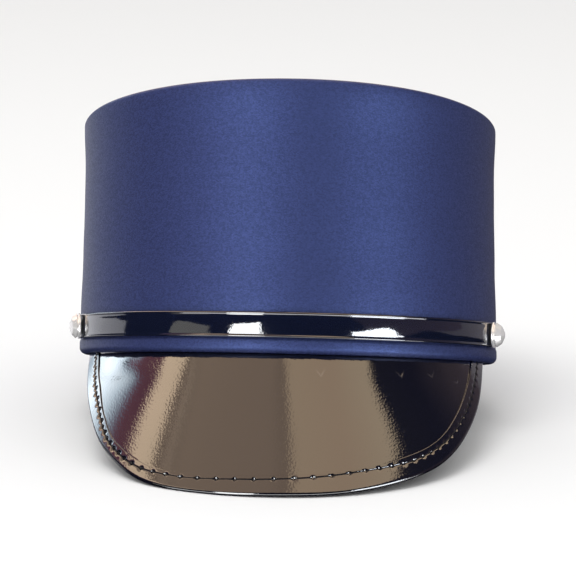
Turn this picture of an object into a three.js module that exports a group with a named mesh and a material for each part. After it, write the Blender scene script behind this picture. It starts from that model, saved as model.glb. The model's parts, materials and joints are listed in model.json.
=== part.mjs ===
// A parade hat: a stiff satin-covered drum crown with a flat top, a glossy peak with a folded binding,
// a strap round the front and a faceted metal button at each end of the strap.
// Lengths are millimetres, +Z is up and the front faces -Y. Each piece is drawn upright, with the rim as
// the plane at height 0. The whole hat is then laid back as it stands on a table, on its peak and the
// back of its hem, with the origin under the middle of its box.

import * as THREE from "three";

// Crown
const HALF_WIDTH = 90; // rim oval, left to right
const HALF_DEPTH = 100; // rim oval, front to back
const CROWN_HEIGHT = 99.2; // at the middle of the top
const TOP_FALL = 0.116; // drop of the top for each millimetre towards the back
const LEVEL_BAND = 20; // everything up to this height runs level with the rim
const WALL = 2.5;
const TOP_ROLL = 2; // rounding of the upper edge
const LIP_BEVEL = 0.5; // on the inner corner of the upper edge
const TURN_IN = 6; // width of the side cloth turned in under the top board
const TURN_IN_THICKNESS = 1;

// Hem, the folded lower edge of the crown
const HEM_THICKNESS = 3.2;
const HEM_SWELL = 0.95; // how far the hem stands out past the rim oval
const HEM_ROLL_ACROSS = 2.4;
const HEM_ROLL_UP = 2.2;
const HEM_INNER_ROLL = 0.8;
const HEM_FOLD_HEIGHT = 7.5; // top of the turned-up cloth inside
const HEM_FOLD_SLOPE = 1; // height over which the fold thins out into the wall
const HEM_FOLD_EDGE = 0.1; // thinning of the wall above the fold

// Swell of the hem's outer face past the rim oval, from its roll up to the plain wall
const HEM_LINE = [
  { height: 4.8, swell: HEM_SWELL },
  { height: 5.6, swell: 0.7 },
  { height: 6.2, swell: 0.15 },
];

// The same of the outer side line, above the strap
const SIDE_LINE = [
  { height: 18.5, swell: 0.2 },
  { height: 40, swell: -0.6 },
  { height: 66, swell: -1.1 },
  { height: 80, swell: -1.35 },
  { height: 97.2, swell: -0.85 },
];

// Top board
const BOARD_THICKNESS = 2.2;
const BOARD_SINK = 0.6; // below the crown's upper edge
const BOARD_CHAMFER = 0.6;

// Peak: a conical sheet that springs from inside the hem
const PEAK_SHEET = 1.2;
const PEAK_SLOPE = THREE.MathUtils.degToRad(60); // below the rim plane
const PEAK_REACH = 64.9; // length at the front
const PEAK_SPAN = THREE.MathUtils.degToRad(80.5); // where the outline's curve would run out
const PEAK_END = THREE.MathUtils.degToRad(73); // where the sheet ends, round from the front
const PEAK_FULLNESS = 2.82;
const PEAK_SHOULDER = 2.5;
const PEAK_SEWING_EDGE = 7; // sheet that runs up inside the crown
const PEAK_INSET = 1.8; // the sheet stops this far inside the binding's outer edge

// Binding of the peak: a channel that takes the sheet's edge
const BINDING_WIDTH = 8.1;
const BINDING_CLEARANCE = 2; // its inner edge stays this far below the rim plane, along the slope
const BINDING_THICKNESS = 0.6;
const BINDING_ROLL = 0.8; // length of its rolled edge, as a share of its half thickness
const BINDING_END = THREE.MathUtils.degToRad(68.5);

// Strap
const STRAP_BOTTOM = 6.2;
const STRAP_HEIGHT = 10.4;
const STRAP_BACK = 0.5; // its back's distance past the rim oval
const STRAP_TIP = 0.06; // share of its height left at the tips of its rounded ends
const STRAP_SECTION = [
  { stand: 0, height: 0.3 },
  { stand: 0.5, height: 0 },
  { stand: 1.15, height: 0.2 },
  { stand: 1.3, height: 0.7 },
  { stand: 1.05, height: 1.2 },
  { stand: 1.35, height: 2.4 },
  { stand: 1.5, height: 5.2 },
  { stand: 1.35, height: 8 },
  { stand: 1.05, height: 9.2 },
  { stand: 1.3, height: 9.7 },
  { stand: 1.15, height: 10.2 },
  { stand: 0.5, height: 10.4 },
  { stand: 0, height: 10.1 },
];

// Buttons
const BUTTON_TURN = THREE.MathUtils.degToRad(72);
const BUTTON_FACETS = 8;
const BUTTON_PROFILE = [
  { radius: 0, height: 0, faceted: false },
  { radius: 5.45, height: 0, faceted: false },
  { radius: 5.45, height: 0.7, faceted: false },
  { radius: 4.5, height: 0.9, faceted: false },
  { radius: 4.5, height: 1.3, faceted: false },
  { radius: 5.25, height: 1.3, faceted: true },
  { radius: 5.25, height: 1.8, faceted: true },
  { radius: 3.9, height: 3.9, faceted: true },
  { radius: 1.3, height: 5.2, faceted: true },
  { radius: 0, height: 5.2, faceted: false },
];

// Fits and fineness
const GAP = 0.3; // between pieces that touch
const AROUND = 72; // sides of the crown's oval
const PEAK_STATIONS = 72;
const BINDING_STATIONS = 72;
const STRAP_STATIONS = 56;
const STRAP_END_STATIONS = 5;
const BUTTON_SIDES = 24;
const SMALL_TURN = 1e-3; // step that finds a direction or a length along a curve
const TILT_PASSES = 8;

const DEPTH_RATIO = HALF_DEPTH / HALF_WIDTH;
const UP = new THREE.Vector3(0, 0, 1);

const satin = new THREE.MeshStandardMaterial({ color: 0x39456f, roughness: 0.55, metalness: 0 });
const glossyBlack = new THREE.MeshStandardMaterial({ color: 0x0d0d12, roughness: 0.12, metalness: 0 });
const silver = new THREE.MeshStandardMaterial({ color: 0xd6d6d8, roughness: 0.2, metalness: 1 });

// A point of the oval that is radius wide to the side, at an angle round from the front.
function onOval(turn, radius, height) {
  return new THREE.Vector3(radius * Math.sin(turn), -radius * DEPTH_RATIO * Math.cos(turn), height);
}

// The level direction that points straight out of the oval at that angle.
function outwardAt(turn) {
  return new THREE.Vector3(Math.sin(turn), -Math.cos(turn) / DEPTH_RATIO, 0).normalize();
}

// Heights above the level band stretch at the front and shrink at the back, so the top lies in a slant plane.
function slantedHeight(height, y) {
  if (height <= LEVEL_BAND) return height;
  const share = (height - LEVEL_BAND) / (CROWN_HEIGHT - LEVEL_BAND);
  return LEVEL_BAND + share * (CROWN_HEIGHT - TOP_FALL * y - LEVEL_BAND);
}

// A quarter of an ellipse between two corners, as profile points.
function roll(centreX, centreY, across, up, from, to, steps) {
  const curve = new THREE.EllipseCurve(centreX, centreY, across, up, from, to, to < from);
  return curve.getPoints(steps);
}

function mesh(name, geometry, material) {
  const made = new THREE.Mesh(geometry, material);
  made.name = name;
  return made;
}

// A profile of radius and height turned round the oval, with its heights slanted.
function ovalTurned(profile) {
  const geometry = new THREE.LatheGeometry(profile, AROUND);
  geometry.rotateX(Math.PI / 2);
  geometry.scale(1, DEPTH_RATIO, 1);
  const position = geometry.attributes.position;
  for (let i = 0; i < position.count; i += 1) {
    position.setZ(i, slantedHeight(position.getZ(i), position.getY(i)));
  }
  return geometry;
}

// A section carried through a list of stations. place(x, y, station) puts a section point in space.
function swept(section, stations, place) {
  const steps = stations.length - 1;
  const shape = new THREE.Shape(section);
  const geometry = new THREE.ExtrudeGeometry(shape, { depth: 1, steps, bevelEnabled: false });
  const position = geometry.attributes.position;
  for (let i = 0; i < position.count; i += 1) {
    const station = stations[Math.round(position.getZ(i) * steps)];
    const at = place(position.getX(i), position.getY(i), station);
    position.setXYZ(i, at.x, at.y, at.z);
  }
  return geometry;
}

function evenTurns(from, to, count) {
  return Array.from({ length: count + 1 }, (_, i) => from + ((to - from) * i) / count);
}

function crownSide() {
  const outer = HALF_WIDTH + HEM_SWELL;
  const inner = outer - HEM_THICKNESS;
  const line = new THREE.SplineCurve(
    SIDE_LINE.map(({ height, swell }) => new THREE.Vector2(HALF_WIDTH + swell, height)),
  ).getPoints(SIDE_LINE.length + 2);
  const edge = line[line.length - 1].x;
  const innerLine = line.map((point) => new THREE.Vector2(point.x - WALL, point.y)).reverse();
  const ledge = CROWN_HEIGHT - BOARD_SINK - BOARD_THICKNESS - GAP;
  const seat = edge - WALL;
  const profile = [
    new THREE.Vector2(inner + HEM_INNER_ROLL, 0),
    ...roll(outer - HEM_ROLL_ACROSS, HEM_ROLL_UP, HEM_ROLL_ACROSS, HEM_ROLL_UP, -Math.PI / 2, 0, 4),
    ...HEM_LINE.map(({ height, swell }) => new THREE.Vector2(HALF_WIDTH + swell, height)),
    ...line,
    ...roll(edge - TOP_ROLL, CROWN_HEIGHT - TOP_ROLL, TOP_ROLL, TOP_ROLL, 0, Math.PI / 2, 3).slice(1),
    new THREE.Vector2(seat, CROWN_HEIGHT - LIP_BEVEL),
    new THREE.Vector2(seat, ledge),
    new THREE.Vector2(seat - TURN_IN, ledge),
    new THREE.Vector2(seat - TURN_IN, ledge - TURN_IN_THICKNESS),
    new THREE.Vector2(seat, ledge - TURN_IN_THICKNESS),
    ...innerLine.slice(1),
    new THREE.Vector2(HALF_WIDTH - WALL + HEM_FOLD_EDGE, HEM_FOLD_HEIGHT + HEM_FOLD_SLOPE),
    new THREE.Vector2(inner, HEM_FOLD_HEIGHT),
    new THREE.Vector2(inner, HEM_INNER_ROLL),
    new THREE.Vector2(inner + HEM_INNER_ROLL, 0),
  ];
  return mesh("crown_side", ovalTurned(profile), satin);
}

function crownTop() {
  const top = CROWN_HEIGHT - BOARD_SINK;
  const bottom = top - BOARD_THICKNESS;
  const radius = HALF_WIDTH + SIDE_LINE[SIDE_LINE.length - 1].swell - WALL - GAP;
  const profile = [
    new THREE.Vector2(0, bottom),
    new THREE.Vector2(radius - BOARD_CHAMFER, bottom),
    new THREE.Vector2(radius, bottom + BOARD_CHAMFER),
    new THREE.Vector2(radius, top - BOARD_CHAMFER),
    new THREE.Vector2(radius - BOARD_CHAMFER, top),
    new THREE.Vector2(0, top),
  ];
  return mesh("crown_top", ovalTurned(profile), satin);
}

// The middle of the sheet's thickness, where it leaves the hem.
const PEAK_ROOT = HALF_WIDTH + HEM_SWELL - HEM_THICKNESS - GAP - PEAK_SHEET / 2;

// Length of the peak from the rim plane to its outline, along the slope.
function peakReach(turn) {
  return PEAK_REACH * (1 - Math.abs(turn / PEAK_SPAN) ** PEAK_FULLNESS) ** PEAK_SHOULDER;
}

// Square out of the peak's upper face.
function peakNormal(turn) {
  return outwardAt(turn).multiplyScalar(Math.sin(PEAK_SLOPE)).addScaledVector(UP, Math.cos(PEAK_SLOPE));
}

// A point of the peak: along runs down the slope from the rim plane, or up inside the crown where it is
// negative, and lift is measured square out of the sheet.
function peakPoint(turn, along, lift) {
  const at = onOval(turn, PEAK_ROOT, 0);
  const outward = outwardAt(turn);
  const normal = peakNormal(turn);
  if (along < 0) return at.addScaledVector(UP, -along).addScaledVector(outward, lift);
  at.addScaledVector(outward, along * Math.cos(PEAK_SLOPE)).addScaledVector(UP, -along * Math.sin(PEAK_SLOPE));
  if (along > 0) return at.addScaledVector(normal, lift);
  const mitre = lift / (1 + Math.sin(PEAK_SLOPE));
  return at.addScaledVector(outward, mitre).addScaledVector(normal, mitre);
}

function peak() {
  const half = PEAK_SHEET / 2;
  const shares = [-1, 0, 0.25, 0.5, 0.75, 1];
  const section = [
    ...shares.map((share) => new THREE.Vector2(share, -half)),
    ...shares.reverse().map((share) => new THREE.Vector2(share, half)),
  ];
  const place = (share, lift, turn) => {
    const length = share < 0 ? PEAK_SEWING_EDGE : peakReach(turn) - PEAK_INSET;
    return peakPoint(turn, share * length, lift);
  };
  return mesh("peak", swept(section, evenTurns(PEAK_END, -PEAK_END, PEAK_STATIONS), place), glossyBlack);
}

function peakBinding() {
  const slot = PEAK_SHEET / 2 + GAP;
  const half = slot + BINDING_THICKNESS;
  const rolled = half * BINDING_ROLL;
  const section = [
    new THREE.Vector2(BINDING_WIDTH, half),
    new THREE.Vector2(BINDING_WIDTH, slot),
    new THREE.Vector2(BINDING_THICKNESS, slot),
    new THREE.Vector2(BINDING_THICKNESS, -slot),
    new THREE.Vector2(BINDING_WIDTH, -slot),
    new THREE.Vector2(BINDING_WIDTH, -half),
    ...roll(rolled, 0, rolled, half, -Math.PI / 2, -1.5 * Math.PI, 6),
  ];
  const place = (inwards, lift, turn) => {
    const at = peakPoint(turn, peakReach(turn), 0);
    const before = peakPoint(turn - SMALL_TURN, peakReach(turn - SMALL_TURN), 0);
    const after = peakPoint(turn + SMALL_TURN, peakReach(turn + SMALL_TURN), 0);
    const normal = peakNormal(turn);
    const inward = normal.clone().cross(after.sub(before)).normalize();
    const rise = inward.z / Math.sin(PEAK_SLOPE);
    const room = (peakReach(turn) - BINDING_CLEARANCE) / rise;
    return at.addScaledVector(inward, Math.min(inwards, room)).addScaledVector(normal, lift);
  };
  const turns = evenTurns(-BINDING_END, BINDING_END, BINDING_STATIONS);
  return mesh("peak_binding", swept(section, turns, place), glossyBlack);
}

// The strap's stations, with rounded ends under the buttons: fullness is the share of its height left.
function strapStations() {
  const radius = STRAP_HEIGHT / 2;
  const buttonPlace = onOval(BUTTON_TURN, HALF_WIDTH, 0);
  const perTurn = onOval(BUTTON_TURN + SMALL_TURN, HALF_WIDTH, 0).distanceTo(buttonPlace) / SMALL_TURN;
  const end = Array.from({ length: STRAP_END_STATIONS }, (_, i) => {
    const swing = ((i + 1) / STRAP_END_STATIONS) * Math.acos(STRAP_TIP);
    return { turn: BUTTON_TURN + (radius * Math.sin(swing)) / perTurn, fullness: Math.cos(swing) };
  });
  const middle = evenTurns(BUTTON_TURN, -BUTTON_TURN, STRAP_STATIONS).map((turn) => ({ turn, fullness: 1 }));
  const otherEnd = end.map(({ turn, fullness }) => ({ turn: -turn, fullness }));
  return [...end.reverse(), ...middle, ...otherEnd];
}

function frontStrap() {
  const section = STRAP_SECTION.map(({ stand, height }) => new THREE.Vector2(stand, height));
  const middle = STRAP_HEIGHT / 2;
  const place = (stand, height, { turn, fullness }) =>
    onOval(turn, HALF_WIDTH + STRAP_BACK + stand, STRAP_BOTTOM + middle + (height - middle) * fullness);
  return mesh("front_strap", swept(section, strapStations(), place), glossyBlack);
}

// A round turned button whose dome rows are drawn in to flat facets, standing out along its own +Z.
function button(name, turn) {
  const profile = BUTTON_PROFILE.map(({ radius, height }) => new THREE.Vector2(radius, height));
  const geometry = new THREE.LatheGeometry(profile, BUTTON_SIDES);
  geometry.rotateX(Math.PI / 2);
  const facet = (2 * Math.PI) / BUTTON_FACETS;
  const position = geometry.attributes.position;
  for (let i = 0; i < position.count; i += 1) {
    if (!BUTTON_PROFILE[i % BUTTON_PROFILE.length].faceted) continue;
    const angle = Math.atan2(position.getY(i), position.getX(i)) + 2 * Math.PI;
    const fromMiddle = (angle % facet) - facet / 2;
    const draw = Math.cos(facet / 2) / Math.cos(fromMiddle);
    position.setXY(i, position.getX(i) * draw, position.getY(i) * draw);
  }
  const made = mesh(name, geometry, silver);
  const stand = Math.max(...STRAP_SECTION.map((row) => row.stand));
  const radius = HALF_WIDTH + STRAP_BACK + stand + GAP;
  made.position.copy(onOval(turn, radius, STRAP_BOTTOM + STRAP_HEIGHT / 2));
  made.quaternion.setFromUnitVectors(UP, outwardAt(turn));
  return made;
}

function pointsOf({ geometry }) {
  const position = geometry.attributes.position;
  return Array.from({ length: position.count }, (_, i) => new THREE.Vector3().fromBufferAttribute(position, i));
}

// The angle that lays the hat back until the peak's edge and the back of the hem touch one level plane.
function restTilt(frontPoints, backPoints) {
  let tilt = 0;
  for (let pass = 0; pass < TILT_PASSES; pass += 1) {
    const drop = (point) => point.z * Math.cos(tilt) - point.y * Math.sin(tilt);
    const back = backPoints.reduce((low, point) => (drop(point) < drop(low) ? point : low));
    tilt = Math.max(...frontPoints.map((point) => Math.atan2(back.z - point.z, back.y - point.y)));
  }
  return tilt;
}

const side = crownSide();
const binding = peakBinding();
const hat = new THREE.Group();
hat.add(side, crownTop(), peak(), binding, frontStrap());
hat.add(button("button_left", -BUTTON_TURN), button("button_right", BUTTON_TURN));
hat.rotation.x = -restTilt(pointsOf(binding), pointsOf(side));

const box = new THREE.Box3().setFromObject(hat, true);
const middle = box.getCenter(new THREE.Vector3());
hat.position.set(0, -middle.y, -box.min.z);

const root = new THREE.Group();
root.add(hat);

export default root;
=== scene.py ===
"""The looks of a parade hat: a navy satin drum crown with a glossy black peak, strap and silver buttons.

Lengths are metres. Each piece is drawn upright, with the rim as the plane at height 0 and the front
towards -Y, and is then laid back as the hat stands, on its peak and the back of its hem.
"""

import json
import logging
import math
from collections.abc import Callable, Iterable, Sequence
from dataclasses import dataclass
from enum import Enum

import bmesh
import bpy
from mathutils import Matrix, Vector, noise
from mathutils.kdtree import KDTree


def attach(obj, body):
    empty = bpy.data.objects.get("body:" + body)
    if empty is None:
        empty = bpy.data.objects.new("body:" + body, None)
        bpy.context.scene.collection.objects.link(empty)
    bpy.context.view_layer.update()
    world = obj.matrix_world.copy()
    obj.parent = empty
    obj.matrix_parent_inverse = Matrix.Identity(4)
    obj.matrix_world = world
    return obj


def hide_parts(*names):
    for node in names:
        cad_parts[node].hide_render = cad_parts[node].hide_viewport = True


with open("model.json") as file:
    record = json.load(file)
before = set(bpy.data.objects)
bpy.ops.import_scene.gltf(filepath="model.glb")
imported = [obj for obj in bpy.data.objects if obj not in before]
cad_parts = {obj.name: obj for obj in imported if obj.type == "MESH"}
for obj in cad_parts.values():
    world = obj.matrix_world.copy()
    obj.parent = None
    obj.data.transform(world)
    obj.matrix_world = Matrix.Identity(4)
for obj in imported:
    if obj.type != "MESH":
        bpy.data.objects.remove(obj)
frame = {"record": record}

LOG = logging.getLogger("parade_hat")
MM = 0.001
TOUCHING = 1e-6
UP = Vector((0.0, 0.0, 1.0))
Colour = tuple[float, float, float]
Rows = tuple[tuple[float, float], ...]
Mesh = bmesh.types.BMesh
Piece = bpy.types.Object
Material = bpy.types.Material
Tree = bpy.types.NodeTree
Socket = bpy.types.NodeSocket


class Slot(Enum):
    """The finishes that the part's record names."""

    SATIN = "satin"
    PATENT = "patent_black"
    SILVER = "silver"


# Shapes that several pieces share


@dataclass(frozen=True)
class Oval:
    """The rim's oval, and places and directions round it."""

    half_width: float = 90 * MM
    half_depth: float = 100 * MM

    @property
    def stretch(self) -> float:
        """Depth over width."""
        return self.half_depth / self.half_width

    def point(self, turn: float, radius: float, height: float = 0.0) -> Vector:
        """Find a point of an oval of this half width, at an angle round from the front towards +X."""
        return Vector((radius * math.sin(turn), -radius * self.stretch * math.cos(turn), height))

    def outward(self, turn: float) -> Vector:
        """Give the level direction straight out of the oval at an angle round from the front."""
        return Vector((math.sin(turn), -math.cos(turn) / self.stretch, 0.0)).normalized()

    def turn_of(self, point: Vector) -> float:
        """Give the angle round from the front at which a point lies."""
        return math.atan2(point.x, -point.y / self.stretch)

    def arc(self, turn: float, steps: int = 48) -> float:
        """Measure along the rim from the front.

        Args:
            turn: angle at which the stretch ends.
            steps: chords that the stretch is measured in.

        Returns:
            The length, negative for a negative angle.
        """
        ends = [self.point(turn * i / steps, self.half_width) for i in range(steps + 1)]
        length = sum((b - a).length for a, b in zip(ends, ends[1:]))
        return math.copysign(length, turn)


@dataclass(frozen=True)
class Stance:
    """How the hat stands: where its rim plane is, and which way its own up points."""

    rim: Vector
    up: Vector

    @classmethod
    def of_record(cls, record: dict) -> "Stance":
        """Read the stance from the record's head opening, whose axis points down out of the rim."""
        opening = next(mount for mount in record["mounts"] if mount["name"] == "head_opening")
        return cls(Vector(opening["pos_m"]), -Vector(opening["axis"]).normalized())

    def matrix(self) -> Matrix:
        """Give the transform from the upright frame to the world."""
        side = Vector((1.0, 0.0, 0.0))
        return Matrix.Translation(self.rim) @ axes(side, self.up.cross(side), self.up)


@dataclass(frozen=True)
class Lean:
    """How the made hat is a little out of true: its foot and its top lean and shift sideways."""

    height: float = 99.2 * MM
    foot_tilt: float = -0.009
    top_rise: float = 0.9 * MM
    foot_shift: float = 0.3 * MM
    top_shift: float = -0.3 * MM
    rise_from: float = -20 * MM
    rise_to: float = 85 * MM

    def apply(self, point: Vector) -> Vector:
        """Move a point of the true shape to where the made hat has it.

        Args:
            point: the point in the upright frame.

        Returns:
            Its place on the made hat.
        """
        share = min(max(point.z / self.height, 0.0), 1.0)
        rise = self.foot_tilt * point.x * (1 - share)
        rise += self.top_rise * smoothstep(self.rise_from, self.rise_to, point.x) * share
        shift = self.foot_shift + (self.top_shift - self.foot_shift) * share
        return point + Vector((shift, 0.0, rise))


def smoothstep(low: float, high: float, value: float) -> float:
    """Ease from 0 at low to 1 at high."""
    share = min(max((value - low) / (high - low), 0.0), 1.0)
    return share * share * (3 - 2 * share)


def eased(rows: Sequence[tuple[float, float]], at: float) -> float:
    """Read a short table of (place, value) rows, easing from each row to the next.

    Args:
        rows: the table, in order of place.
        at: the place to read.

    Returns:
        The value there, or the end row's value past an end.
    """
    for (low, first), (high, second) in zip(rows, rows[1:]):
        if at <= high:
            return first + (second - first) * smoothstep(low, high, at)
    return rows[-1][1]


def at_turn(rows: Rows, turn: float) -> float:
    """Read a table of degrees round from the front and millimetres, at an angle."""
    return eased(rows, math.degrees(turn)) * MM


def spot(across: float, up: float) -> Vector:
    """Give a point of a turned piece's outline."""
    return Vector((across, 0, up))


def axes(side: Vector, depth: Vector, up: Vector) -> Matrix:
    """Give the turn that brings X, Y and Z to these three directions."""
    return Matrix((side, depth, up)).transposed().to_4x4()


def quarter(centre: Vector, across: Vector, up: Vector, steps: int) -> list[Vector]:
    """Round a section's corner, from one way out of its centre to the other, both ends among the points."""
    swings = [math.pi / 2 * i / steps for i in range(steps + 1)]
    return [centre + across * math.cos(swing) + up * math.sin(swing) for swing in swings]


def bent_grid(columns: int, rows: int, place: Callable[[float, float], Vector]) -> Mesh:
    """Make a grid and bend it into a surface.

    Args:
        columns: faces along the first direction.
        rows: faces along the second.
        place: gives the point at a share, from 0 to 1, of each direction.

    Returns:
        The new mesh, with its shares kept in a UV map named shares.
    """
    made = bmesh.new()
    made.loops.layers.uv.new("shares")
    bmesh.ops.create_grid(made, x_segments=columns, y_segments=rows, size=0.5, calc_uvs=True)
    for vertex in made.verts:
        vertex.co = place(vertex.co.x + 0.5, vertex.co.y + 0.5)
    return made


def closed(made: Mesh) -> None:
    """Close a mesh's seams and open ends, and turn its faces outwards.

    Args:
        made: the mesh.
    """
    bmesh.ops.remove_doubles(made, verts=made.verts, dist=TOUCHING)
    bmesh.ops.dissolve_degenerate(made, edges=made.edges, dist=TOUCHING)
    rim = [edge for edge in made.edges if edge.is_boundary]
    if rim:
        bmesh.ops.holes_fill(made, edges=rim, sides=0)
    bmesh.ops.recalc_face_normals(made, faces=made.faces)


def spun(profile: Sequence[Vector], steps: int) -> Mesh:
    """Turn an outline once round the upright axis.

    Args:
        profile: (radius, 0, height) points in order. A closed outline repeats its first point.
        steps: faces round the turn.

    Returns:
        The new mesh.
    """
    made = bmesh.new()
    verts = [made.verts.new(point) for point in profile]
    edges = [made.edges.new(pair) for pair in zip(verts, verts[1:])]
    bmesh.ops.spin(
        made, geom=verts + edges, cent=(0, 0, 0), axis=UP, dvec=(0, 0, 0), angle=2 * math.pi,
        steps=steps, use_merge=True, use_duplicate=False,
    )
    bmesh.ops.remove_doubles(made, verts=made.verts, dist=TOUCHING)
    bmesh.ops.recalc_face_normals(made, faces=made.faces)
    return made


def bevelled(made: Mesh, edges: list[bmesh.types.BMEdge], width: float) -> None:
    """Round edges of a mesh.

    Args:
        made: the mesh.
        edges: the edges.
        width: how far from each edge the rounding starts.
    """
    bmesh.ops.bevel(
        made, geom=edges, offset=width, segments=2, affect="EDGES", profile=0.5, material=-1,
    )


def linked(name: str, data: bpy.types.ID) -> Piece:
    """Put a mesh, lamp or camera in the scene as an object.

    Args:
        name: the object's name.
        data: the mesh, lamp or camera.

    Returns:
        The new object, at the origin.
    """
    made = bpy.data.objects.new(name, data)
    bpy.context.scene.collection.objects.link(made)
    return made


def meshed(name: str, made: Mesh, materials: Iterable[Material]) -> Piece:
    """Make an object of a mesh.

    Args:
        name: the object's name.
        made: its mesh, which is freed.
        materials: its finishes, in the order of the faces' indices.

    Returns:
        The new object.
    """
    mesh = bpy.data.meshes.new(name)
    made.to_mesh(mesh)
    made.free()
    for material in materials:
        mesh.materials.append(material)
    return linked(name, mesh)


def finished(
    name: str, made: Mesh, stance: Stance, materials: Iterable[Material],
    smooth_under: float = math.radians(40),
) -> Piece:
    """Set an upright mesh as the hat stands and make it an object.

    Args:
        name: the piece's name.
        made: its mesh, which is freed.
        stance: how the hat stands.
        materials: its finishes, in the order of the faces' indices.
        smooth_under: edges bent by more than this angle stay sharp.

    Returns:
        The new object, with its place in its mesh.
    """
    made.transform(stance.matrix())
    for face in made.faces:
        face.smooth = True
    for edge in made.edges:
        edge.smooth = len(edge.link_faces) == 2 and edge.calc_face_angle(0.0) < smooth_under
    return meshed(name, made, materials)


def worn(piece: Piece, slot: Slot, *nodes: str) -> None:
    """Let a piece ride on the hat.

    Args:
        piece: the piece.
        slot: the record's finish that it stands for; not used.
        nodes: the solids that it stands for, if any.
    """
    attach(piece, "root")
    if nodes:
        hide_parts(*nodes)
    faces = len(piece.data.polygons)
    LOG.info("%s: %d faces, stands for %s", piece.name, faces, ", ".join(nodes) or "no solid")


# Finishes


class Net:
    """A short way to add nodes to a tree and join them."""

    def __init__(self, tree: Tree) -> None:
        """Keep the tree that the nodes go into."""
        self.tree = tree

    def fill(self, node: bpy.types.Node, inputs: dict) -> None:
        """Set a node's inputs.

        Args:
            node: the node.
            inputs: for each input, by name or index, a socket to join or a value to set.
        """
        for key, value in inputs.items():
            if isinstance(value, Socket):
                self.tree.links.new(value, node.inputs[key])
            else:
                node.inputs[key].default_value = value

    def add(self, kind: str, inputs: dict | None = None, **settings: object) -> bpy.types.Node:
        """Add a node.

        Args:
            kind: the node's type, without its ShaderNode prefix.
            inputs: for each input, by name or index, a socket to join or a value to set.
            settings: properties of the node itself.

        Returns:
            The new node.
        """
        node = self.tree.nodes.new("ShaderNode" + kind)
        for key, value in settings.items():
            setattr(node, key, value)
        self.fill(node, inputs or {})
        return node

    def place(self) -> Socket:
        """Give the place on the piece, in metres."""
        return self.add("TexCoord").outputs["Object"]

    def noise(self, place: object, scale: object, detail: float) -> Socket:
        """Add a noise and give its value, from 0 to 1."""
        return self.add("TexNoise", {"Vector": place, "Scale": scale, "Detail": detail}).outputs[0]

    def maths(self, operation: str, *values: object) -> Socket:
        """Add a Math node with these inputs, in order, and give its output."""
        return self.add("Math", dict(enumerate(values)), operation=operation).outputs[0]

    def vector(self, operation: str, *values: object) -> Socket:
        """Add a Vector Math node with these inputs, in order, and give its output."""
        return self.add("VectorMath", dict(enumerate(values)), operation=operation).outputs[0]

    def span(self, value: Socket, source: tuple, target: tuple) -> Socket:
        """Map a value from one range, its low and high, to another, and hold it inside that."""
        inputs = {0: value, 1: source[0], 2: source[1], 3: target[0], 4: target[1]}
        return self.add("MapRange", inputs).outputs[0]

    def blend(self, share: object, first: object, second: object) -> Socket:
        """Mix two colours by a share and give the result."""
        return self.add("Mix", {0: share, 6: first, 7: second}, data_type="RGBA").outputs[2]

    def bump(self, height: object, distance: float, under: object = None) -> Socket:
        """Turn a height, where 1 stands for a distance, into a normal on the one that lies under it."""
        inputs = {"Height": height, "Distance": distance}
        return self.add("Bump", inputs | ({"Normal": under} if under else {})).outputs[0]


def group(name: str, inputs: dict[str, float | None]) -> tuple[Net, bpy.types.bpy_prop_collection]:
    """Start a node group.

    Args:
        name: the group's name.
        inputs: for each input's name its first value, or None where it is a vector.

    Returns:
        The group's nodes, and the sockets of its inputs.
    """
    tree = bpy.data.node_groups.new(name, "ShaderNodeTree")
    for key, value in inputs.items():
        kind = "NodeSocketVector" if value is None else "NodeSocketFloat"
        socket = tree.interface.new_socket(name=key, in_out="INPUT", socket_type=kind)
        if value is not None:
            socket.default_value = value
    return Net(tree), tree.nodes.new("NodeGroupInput").outputs


def put(net: Net, results: dict[str, Socket]) -> Tree:
    """Give a node group its outputs.

    Args:
        net: the group's nodes.
        results: for each output's name, the socket that feeds it.

    Returns:
        The finished group.
    """
    for key in results:
        net.tree.interface.new_socket(name=key, in_out="OUTPUT", socket_type="NodeSocketFloat")
    net.fill(net.tree.nodes.new("NodeGroupOutput"), results)
    return net.tree


def begun(name: str) -> tuple[Material, Net, bpy.types.Node]:
    """Start a material.

    Args:
        name: its name.

    Returns:
        The material, its nodes and its shader.
    """
    material = bpy.data.materials.new(name)
    material.use_nodes = True
    net = Net(material.node_tree)
    return material, net, net.tree.nodes["Principled BSDF"]


def opaque(colour: Colour) -> tuple[float, float, float, float]:
    """Add a full alpha to a colour."""
    return (*colour, 1.0)


def cloth_group() -> Tree:
    """Make the weave that the satin and its backing share.

    Returns:
        A group that turns a place on the cloth, in metres, into a thread height and a grain from 0 to 1.
    """
    inputs = {"Place": None, "Thread": 0.3 * MM, "Float Length": 4.0, "Slub": 1.6 * MM}
    net, start = group("Woven threads", inputs)
    across = net.maths("DIVIDE", 1.0, start["Thread"])
    along = net.maths("DIVIDE", across, start["Float Length"])
    stretch = net.add("CombineXYZ", {0: along, 1: across, 2: 1.0}).outputs[0]
    floats_at = net.vector("MULTIPLY", start["Place"], stretch)
    floats = net.add("TexVoronoi", {"Vector": floats_at, "Scale": 1.0, "Randomness": 0.75}).outputs
    slubs = net.noise(start["Place"], net.maths("DIVIDE", 1.0, start["Slub"]), 3.0)
    tone = net.add("SeparateColor", {0: floats["Color"]}).outputs[0]
    halves = [net.maths("MULTIPLY", part, 0.5) for part in (tone, slubs)]
    height = net.maths("SUBTRACT", 1.0, floats["Distance"])
    return put(net, {"Height": height, "Grain": net.maths("ADD", *halves)})


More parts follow.
